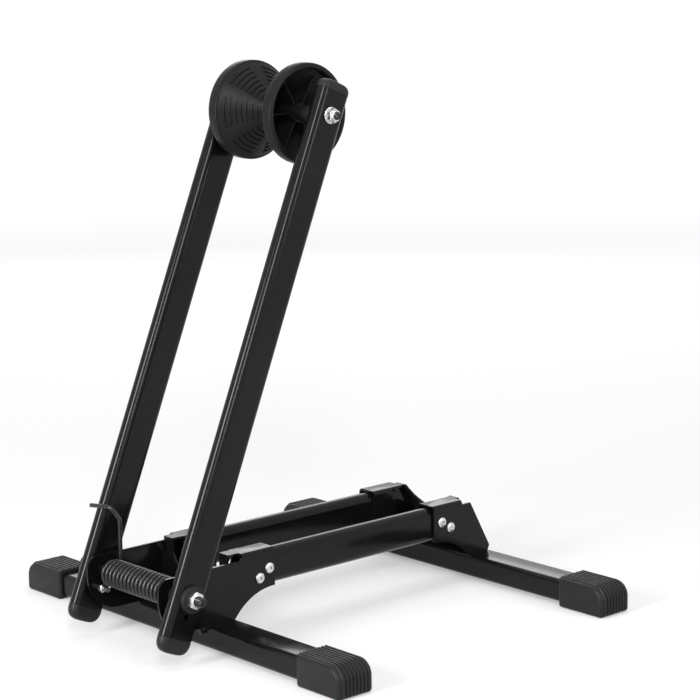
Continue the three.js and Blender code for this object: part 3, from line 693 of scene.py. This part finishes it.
def bent(bm, loop, at, heading, corners, radius):
    """Bends a wire along straight stretches between corners; gives its last loop back."""
    for corner, following in zip(corners, corners[1:] + [None]):
        straight = corner - at
        if following is None:
            return carried_on(bm, loop, straight)
        leaving = (following - corner).normalized()
        angle = heading.angle(leaving)
        trimmed = radius * math.tan(angle / 2)
        loop = carried_on(bm, loop, straight - heading * trimmed)
        axis = heading.cross(leaving).normalized()
        start = corner - heading * trimmed
        centre = start + axis.cross(heading) * radius
        verts = list({vert for edge in loop for vert in edge.verts})
        made = bmesh.ops.spin(bm, geom=verts + loop, cent=centre, axis=axis, angle=angle, steps=10)
        loop = edges_of(points_in(made["geom_last"]))
        at, heading = corner + leaving * trimmed, leaving
    return loop


def spring_body(sizes):
    """The coil round the pivot, the leg that bears on the base, and the hook on the arm."""
    low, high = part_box("torsion_spring")
    wire = sizes.wire / 2
    radius = sizes.coil / 2 - wire
    start = math.radians(65)                       # where the coil leaves the low leg, from upright
    turns = sizes.curls - (math.pi / 2 - start) / (2 * math.pi)
    coil_low = low.y + wire
    coil_high = -coil_low
    steps_per_turn = 28
    steps = steps_per_turn * round(turns)
    bm = bmesh.new()
    made = bmesh.ops.create_circle(bm, segments=14, radius=wire, matrix=Matrix.Translation((radius, 0, 0)))
    verts = made["verts"]
    bmesh.ops.rotate(bm, cent=(0, 0, 0), matrix=Matrix.Rotation(start - math.pi / 2, 3, "Y"), verts=verts)
    bmesh.ops.translate(bm, vec=(0, coil_low, 0), verts=verts)
    first = edges_of(verts)

    leg = Vector((math.cos(start), 0, -math.sin(start)))
    drop = PIVOT.z + radius * math.cos(start) - low.z
    loop = carried_on(bm, first, leg * (drop - wire * math.cos(start)) / math.sin(start))
    bmesh.ops.edgeloop_fill(bm, edges=loop)

    climb = (0, (coil_high - coil_low) / steps, 0)
    wound = bmesh.ops.spin(bm, geom=verts + first, cent=(0, 0, 0), axis=(0, 1, 0), dvec=climb,
                           angle=-2 * math.pi * turns, steps=steps)
    loop = edges_of(points_in(wound["geom_last"]))

    top = high.z - PIVOT.z - wire
    inset, rise, tip_drop, bend_radius = 2 * MM, 14 * MM, 3 * MM, 6 * MM
    front_edge = (top - inset) * math.tan(LEAN) - sizes.arm_width / 2 / math.cos(LEAN)
    elbow_x = front_edge - (wire + FIT) / math.cos(LEAN) + inset
    knee = Vector((radius, coil_high, top - rise))
    elbow = Vector((elbow_x, coil_high + sizes.wire, top))
    tip = Vector((elbow_x - tip_drop, high.y, top - tip_drop))
    foot = Vector((radius, coil_high, 0))
    loop = bent(bm, loop, foot, Vector((0, 0, 1)), [knee, elbow, tip], bend_radius)
    bmesh.ops.edgeloop_fill(bm, edges=loop)
    bmesh.ops.remove_doubles(bm, verts=bm.verts, dist=SMALLEST)
    return put(bm, Matrix.Translation((PIVOT.x, 0, PIVOT.z)))


class RACK_OT_spring(Operator):
    """The torsion spring, wound from its leg on the base to its hook on the arm"""
    bl_idname = "rack.spring"
    bl_label = "Torsion spring"

    def execute(self, context):
        sizes = context.scene.rack_sizes
        piece = finished(spring_body(sizes), "torsion_spring_wound", ["torsion_spring"], None, "black_steel",
                         sharp=50)
        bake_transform(piece)
        return {"FINISHED"}


# ---------------------------------------------------------------- arms


def on_arm(z=0.0):
    """The place z up the right arm's middle line."""
    return ARMS @ Matrix.Translation((0, ARM_MIDDLE, z))


def arm_hole(diameter, z):
    """A cutter through the right arm, z up from the pivot."""
    radius = diameter / 2 + FIT
    reach = 20 * MM
    body = turned([(0, -reach), (radius, -reach), (radius, reach), (0, reach)], 32)
    return put(body, Matrix.Translation((0, 0, z)) @ ALONG_Y)


def stop_radius():
    """How far below the pivot the stop screw goes through the arm."""
    low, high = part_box("stop_screw")
    return (Vector(((low.x + high.x) / 2, 0, (low.z + high.z) / 2)) - Vector((PIVOT.x, 0, PIVOT.z))).length


class RACK_OT_arms(Operator):
    """The two arms, with the holes for the bush, the stop screw and the axle"""
    bl_idname = "rack.arms"
    bl_label = "Arms"

    def execute(self, context):
        sizes = context.scene.rack_sizes
        up, down = arm_ends(sizes.arm_width)
        thickness = ARM_OUTER - ARM_INNER
        body = tube(sizes.arm_width, thickness, thickness / 2, sizes.wall, -down, up, 56)
        body = cut(body, arm_hole(sizes.bush, 0), arm_hole(sizes.stop_screw, -stop_radius()),
                   arm_hole(sizes.axle_bolt, REACH))
        finished_pair(put(body, on_arm()), "arm", "arms", "black_paint")
        return {"FINISHED"}


def arm_cap(sizes, dome):
    """A domed cap over a tube end at z = 0, with its plug; the dome starts upright and ends flat."""
    bm = bmesh.new()
    thickness = ARM_OUTER - ARM_INNER
    plug = 2 * (sizes.wall + FIT)
    lip = 2 * sizes.cap_lip
    ease = 0.25 * MM
    across, through = 0.5, 0.35                     # how full the dome is each way, less for more

    def oval(grow, z, rise=0.0):
        width = (sizes.arm_width + grow) * math.cos(rise) ** across
        height = (thickness + grow) * math.cos(rise) ** through
        return ring(bm, width, height, height / 2, z, 56)

    rings = [oval(-plug, -sizes.cap_plug), oval(-plug, FIT - ease), oval(lip - 2 * ease, FIT),
             oval(lip, FIT + ease), oval(lip, sizes.cap_rim)]
    steps = 16
    for step in range(1, steps):
        rise = 0.5 * math.pi * step / steps
        rings.append(oval(lip, sizes.cap_rim + dome * math.sin(rise), rise))
    return loft(bm, rings)


class RACK_OT_arm_caps(Operator):
    """Domed plastic caps on both ends of the arms"""
    bl_idname = "rack.arm_caps"
    bl_label = "Arm caps"

    def execute(self, context):
        sizes = context.scene.rack_sizes
        up, down = arm_ends(sizes.arm_width)
        top = arm_cap(sizes, sizes.top_dome)
        finished_pair(put(top, on_arm(up)), "arm_top_cap", "arms", "black_plastic")
        bottom = arm_cap(sizes, sizes.bottom_dome)
        turn = on_arm(-down) @ Matrix.Rotation(math.pi, 4, "Y")
        finished_pair(put(bottom, turn), "arm_bottom_cap", "arms", "black_plastic")
        return {"FINISHED"}


class RACK_OT_bushes(Operator):
    """Flanged plastic bushes that the arms turn on"""
    bl_idname = "rack.bushes"
    bl_label = "Pivot bushes"

    def execute(self, context):
        sizes = context.scene.rack_sizes
        low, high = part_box("right_flange_bush")
        flange = half_widths("right_flange_bush").x
        bore = sizes.pivot_bolt / 2 + FIT
        neck = sizes.bush / 2
        ease = 0.8 * MM
        body = turned([
            (bore, low.y), (neck, low.y), (neck, ARM_OUTER), (flange, ARM_OUTER),
            (flange, high.y - ease), (flange - 0.3 * ease, high.y - 0.3 * ease), (flange - ease, high.y),
            (bore, high.y),
        ], 56)
        finished_pair(put(body, Matrix.Translation((PIVOT.x, 0, PIVOT.z)) @ ALONG_Y), "flange_bush", "arms",
                      "black_plastic")
        return {"FINISHED"}


class RACK_OT_stop(Operator):
    """The stop screw, which travels in the bracket's slot, and its nut"""
    bl_idname = "rack.stop"
    bl_label = "Stop screw"

    def execute(self, context):
        sizes = context.scene.rack_sizes
        low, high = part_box("stop_screw")
        turn = ARMS @ Matrix.Translation((0, 0, -stop_radius())) @ ALONG_Y
        shank, head = sizes.stop_screw / 2, sizes.stop_head / 2
        ease = 0.6 * MM
        body = turned([
            (0, low.y), (shank, low.y), (shank, ARM_OUTER), (head, ARM_OUTER), (head, high.y - ease),
            (head - ease, high.y), (0, high.y),
        ], 40)
        socket_depth = 2.5 * MM
        socket = hexagon(sizes.socket, high.y - socket_depth, high.y + MM, 0)
        finished(put(cut(body, socket), turn), "stop_screw_plated", ["stop_screw"], "arms", "zinc")
        low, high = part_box("stop_nut")
        body = nut(sizes.stop_nut, shank + FIT, -high.y, -low.y, nylon=1.4 * MM)
        finished(put(body, turn @ TURNED_OVER), "stop_nut_plated", ["stop_nut"], "arms", "zinc")
        return {"FINISHED"}


class RACK_OT_axle(Operator):
    """The roller's axle bolt with its nut, washers and spacers"""
    bl_idname = "rack.axle"
    bl_label = "Roller axle"

    def execute(self, context):
        sizes = context.scene.rack_sizes
        radius = sizes.axle_bolt / 2
        centre = Vector((AXLE.x, 0, AXLE.z))
        place = Matrix.Translation(centre) @ ALONG_Y
        low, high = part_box("right_axle_washer")
        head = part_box("axle_bolt")[1].y - high.y
        finished(bolt(sizes, "axle_bolt", sizes.axle_nut, head, radius, centre), "axle_bolt_blackened",
                 ["axle_bolt"], "arms", "black_steel")
        washer = collar(half_widths("right_axle_washer").x, radius + FIT, low.y, high.y)
        finished_pair(put(washer, place), "axle_washer", "arms", "zinc")
        low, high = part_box("right_axle_spacer")
        spacer = collar(half_widths("right_axle_spacer").x, radius + FIT, low.y, high.y)
        finished_pair(put(spacer, place), "axle_spacer", "arms", "black_plastic")
        low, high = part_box("axle_nut")
        body = nut(sizes.axle_nut, radius + FIT, -high.y, -low.y, nylon=2.4 * MM)
        finished(put(body, place @ TURNED_OVER), "axle_nut_plated", ["axle_nut"], "arms", "zinc")
        return {"FINISHED"}


# ---------------------------------------------------------------- roller


def roller_half(sizes):
    """The right half: a rim and a thin ridged cone on a hub, with ribs in its dished side."""
    low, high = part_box("right_roller_half")
    rim, half = half_widths("right_roller_half").z, high.y
    waist, waist_half = 12 * MM, 3 * MM
    hub, bore = 10 * MM, sizes.axle_bolt / 2 + FIT
    hub_end, hub_edge = half - sizes.hub_inset, 1.5 * MM
    rim_low, rim_inside = half - 13 * MM, rim - 5 * MM
    edge = 2 * MM
    wall = 3 * MM
    cone_top = rim - edge
    grade = (cone_top - waist) / (rim_low - waist_half)
    thick = wall * math.sqrt(1 + grade ** 2) / grade

    def flank(radius):
        return waist_half + (radius - waist) / grade

    first, last = waist + 2 * MM, cone_top - 1.5 * MM
    pitch = (last - first) / sizes.ridges
    ridge_share, ridge_slope = 0.62, 0.6 * MM
    ridges = [(first + i * pitch, first + (i + ridge_share) * pitch) for i in range(sizes.ridges)]
    steps_per_sector = 24
    rounded = [(rim - edge * (1 - math.sin(a)), rim_low + edge * (1 - math.cos(a)))
               for a in (math.radians(22.5 * i) for i in range(5))]
    profile = [(bore, 0), (waist, 0), (waist, waist_half)]
    profile += [(radius, flank(radius)) for ridge in ridges for radius in ridge]
    profile += rounded + [
        (rim, half - edge), (rim - 0.3 * edge, half - 0.3 * edge), (rim - edge, half), (rim_inside, half),
        (rim_inside, flank(rim_inside) + thick), (hub, flank(hub) + thick), (hub, hub_end - hub_edge),
        (hub - 0.3 * hub_edge, hub_end - 0.3 * hub_edge), (hub - hub_edge, hub_end), (bore, hub_end),
    ]
    bm = turned(profile, steps_per_sector * sizes.sectors)

    sector = 360 / sizes.sectors
    plain_half = sector / 6
    raised, near = [], 0.3 * MM
    for face in bm.faces:
        centre = face.calc_center_median()
        radius = math.hypot(centre.x, centre.y)
        turn = math.degrees(math.atan2(centre.y, centre.x)) % sector
        plain = abs(turn - sector / 2) < plain_half
        on_cone = abs(centre.z - flank(radius)) < near
        if on_cone and not plain and any(low_r < radius < high_r for low_r, high_r in ridges):
            raised.append(face)
    bmesh.ops.inset_region(bm, faces=raised, thickness=ridge_slope, depth=sizes.ridge_height,
                           use_even_offset=True)

    rib_top = half - sizes.dish_depth
    sunk = wall / 2
    blades = bmesh.new()
    foot = hub - sunk
    tip = min(waist + (rib_top - waist_half - thick / 2) * grade, rim_inside + sunk)
    outline = [(foot, flank(foot) + thick / 2), (tip, rib_top), (foot, rib_top)]
    half_rib = 0.6 * MM
    face = blades.faces.new([blades.verts.new((radius, -half_rib, z)) for radius, z in outline])
    verts = points_in(bmesh.ops.extrude_face_region(blades, geom=[face])["geom"])
    bmesh.ops.translate(blades, vec=(0, 2 * half_rib, 0), verts=verts)
    bmesh.ops.recalc_face_normals(blades, faces=blades.faces)
    everything = blades.verts[:] + blades.edges[:] + blades.faces[:]
    copies = sizes.dish_ribs - 1
    bmesh.ops.spin(blades, geom=everything, cent=(0, 0, 0), axis=(0, 0, 1),
                   angle=2 * math.pi * (1 - 1 / sizes.dish_ribs), steps=copies, use_duplicate=True)
    return joined(bm, blades)


class RACK_OT_roller(Operator):
    """The two halves of the grooved roller, with their grip ridges and ribs"""
    bl_idname = "rack.roller"
    bl_label = "Roller"

    def execute(self, context):
        body = roller_half(context.scene.rack_sizes)
        finished_pair(put(body, Matrix.Translation((AXLE.x, 0, AXLE.z)) @ ALONG_Y), "roller_half", "roller",
                      "black_plastic", sharp=28)
        return {"FINISHED"}


# ---------------------------------------------------------------- stage


def camera():
    """The camera at the photograph's place, looking the way it looks."""
    lens = bpy.data.cameras.new("camera")
    lens.sensor_width = 36
    lens.lens = 112.7
    lens.clip_end = 100
    view = bpy.data.objects.new("camera", lens)
    bpy.context.scene.collection.objects.link(view)
    azimuth, pitch, roll = (math.radians(angle) for angle in (-42.24, 10.47, -0.51))
    turn = Matrix.Rotation(azimuth, 4, "Z") @ Matrix.Rotation(math.pi / 2 - pitch, 4, "X")
    view.matrix_world = Matrix.Translation((-1.48321, -1.7215, 0.7)) @ turn @ Matrix.Rotation(roll, 4, "Z")
    bpy.context.scene.camera = view


def lamp(name, width, height, brightness, place, aim):
    """A soft rectangular lamp, as bright as a surface of that strength."""
    light = bpy.data.lights.new(name, "AREA")
    light.shape = "RECTANGLE"
    light.size = width
    light.size_y = height
    light.energy = brightness * math.pi * width * height
    shape = bpy.data.objects.new(name, light)
    shape.location = place
    shape.rotation_euler = (Vector(aim) - Vector(place)).to_track_quat("-Z", "Y").to_euler()
    bpy.context.scene.collection.objects.link(shape)


def seen(tree):
    """1 for rays that show the background by themselves or in metal, and 0 for the rest."""
    path = tree.nodes.new("ShaderNodeLightPath")
    total = path.outputs["Is Camera Ray"]
    for output in ("Is Glossy Ray", "Is Transmission Ray"):
        add = tree.nodes.new("ShaderNodeMath")
        add.operation = "MAXIMUM"
        tree.links.new(total, add.inputs[0])
        tree.links.new(path.outputs[output], add.inputs[1])
        total = add.outputs["Value"]
    return total


def world():
    """White where it is seen, and a soft light on the object."""
    sky = bpy.data.worlds.new("studio")
    sky.use_nodes = True
    bpy.context.scene.world = sky
    tree = sky.node_tree
    background = tree.nodes["Background"]
    background.inputs["Color"].default_value = (1, 1, 1, 1)
    strength = tree.nodes.new("ShaderNodeMapRange")
    strength.inputs["To Min"].default_value = 0.4
    strength.inputs["To Max"].default_value = 1.0
    tree.links.new(seen(tree), strength.inputs["Value"])
    tree.links.new(strength.outputs["Result"], background.inputs["Strength"])


def floor(colours):
    """A wide pale floor that keeps the shadow and is white where it is lit."""
    bm = bmesh.new()
    bmesh.ops.create_circle(bm, cap_ends=True, segments=96, radius=45)
    mesh = bpy.data.meshes.new("floor")
    bm.to_mesh(mesh)
    bm.free()
    material = bpy.data.materials.new("floor")
    material.use_nodes = True
    tree = material.node_tree
    surface = tree.nodes["Principled BSDF"]
    surface.inputs["Base Color"].default_value = (*colours.floor, 1)
    surface.inputs["Roughness"].default_value = 0.9
    surface.inputs["Specular IOR Level"].default_value = 0.1
    surface.inputs["Emission Color"].default_value = (1, 1, 1, 1)
    place = tree.nodes.new("ShaderNodeTexCoord").outputs["Object"]
    distance = tree.nodes.new("ShaderNodeVectorMath")
    distance.operation = "LENGTH"
    tree.links.new(place, distance.inputs[0])
    lift = tree.nodes.new("ShaderNodeMapRange")
    lift.inputs["From Min"].default_value = 0.6
    lift.inputs["From Max"].default_value = 4.0
    lift.inputs["To Min"].default_value = 0.3
    lift.inputs["To Max"].default_value = 0.75
    tree.links.new(distance.outputs["Value"], lift.inputs["Value"])
    shown = tree.nodes.new("ShaderNodeMath")
    shown.operation = "MULTIPLY"
    tree.links.new(lift.outputs["Result"], shown.inputs[0])
    tree.links.new(seen(tree), shown.inputs[1])
    tree.links.new(shown.outputs["Value"], surface.inputs["Emission Strength"])
    mesh.materials.append(material)
    plane = bpy.data.objects.new("floor", mesh)
    plane.location.z = -0.2 * MM
    bpy.context.scene.collection.objects.link(plane)


class RACK_OT_stage(Operator):
    """The camera, the lamps, the white background and the floor"""
    bl_idname = "rack.stage"
    bl_label = "Stage"

    def execute(self, context):
        context.scene.view_settings.view_transform = "Standard"
        camera()
        world()
        floor(context.scene.rack_colours)
        aim = (0, 0, 0.3)
        lamp("overhead", 1.8, 1.8, 1.5, (0.1, -0.2, 2.4), aim)
        lamp("front_strip", 0.45, 1.2, 27.0, (-2.07, -0.1, 0.7), aim)
        lamp("camera_strip", 0.4, 1.2, 18.0, (-1.36, -1.61, 1.4), aim)
        lamp("left_strip", 0.35, 1.1, 10.0, (0.62, -1.96, 0.98), aim)
        lamp("back_panel", 1.6, 0.7, 3.0, (1.6, 1.9, 1.2), aim)
        return {"FINISHED"}


# ---------------------------------------------------------------- add-on


class RACK_PT_panel(Panel):
    """The rack's pieces, finishes and sizes"""
    bl_idname = "RACK_PT_panel"
    bl_label = "Floor Bike Rack"
    bl_space_type = "VIEW_3D"
    bl_region_type = "UI"
    bl_category = "Bike Rack"

    def draw(self, context):
        for operator in OPERATORS:
            self.layout.operator(operator.bl_idname)
        for settings in (context.scene.rack_sizes, context.scene.rack_colours):
            for name in settings.__annotations__:
                self.layout.prop(settings, name)


OPERATORS = (
    RACK_OT_stage, RACK_OT_tubes, RACK_OT_foot_caps, RACK_OT_brackets, RACK_OT_screws, RACK_OT_pivot,
    RACK_OT_spring, RACK_OT_arms, RACK_OT_arm_caps, RACK_OT_bushes, RACK_OT_stop, RACK_OT_axle,
    RACK_OT_roller,
)
CLASSES = (RackSizes, RackColours, *OPERATORS, RACK_PT_panel)


def register():
    for item in CLASSES:
        bpy.utils.register_class(item)
    bpy.types.Scene.rack_sizes = PointerProperty(type=RackSizes)
    bpy.types.Scene.rack_colours = PointerProperty(type=RackColours)


def unregister():
    del bpy.types.Scene.rack_colours
    del bpy.types.Scene.rack_sizes
    for item in reversed(CLASSES):
        bpy.utils.unregister_class(item)


def main():
    register()
    for operator in OPERATORS:
        group, name = operator.bl_idname.split(".")
        getattr(getattr(bpy.ops, group), name)()


if __name__ == "__main__":
    main()
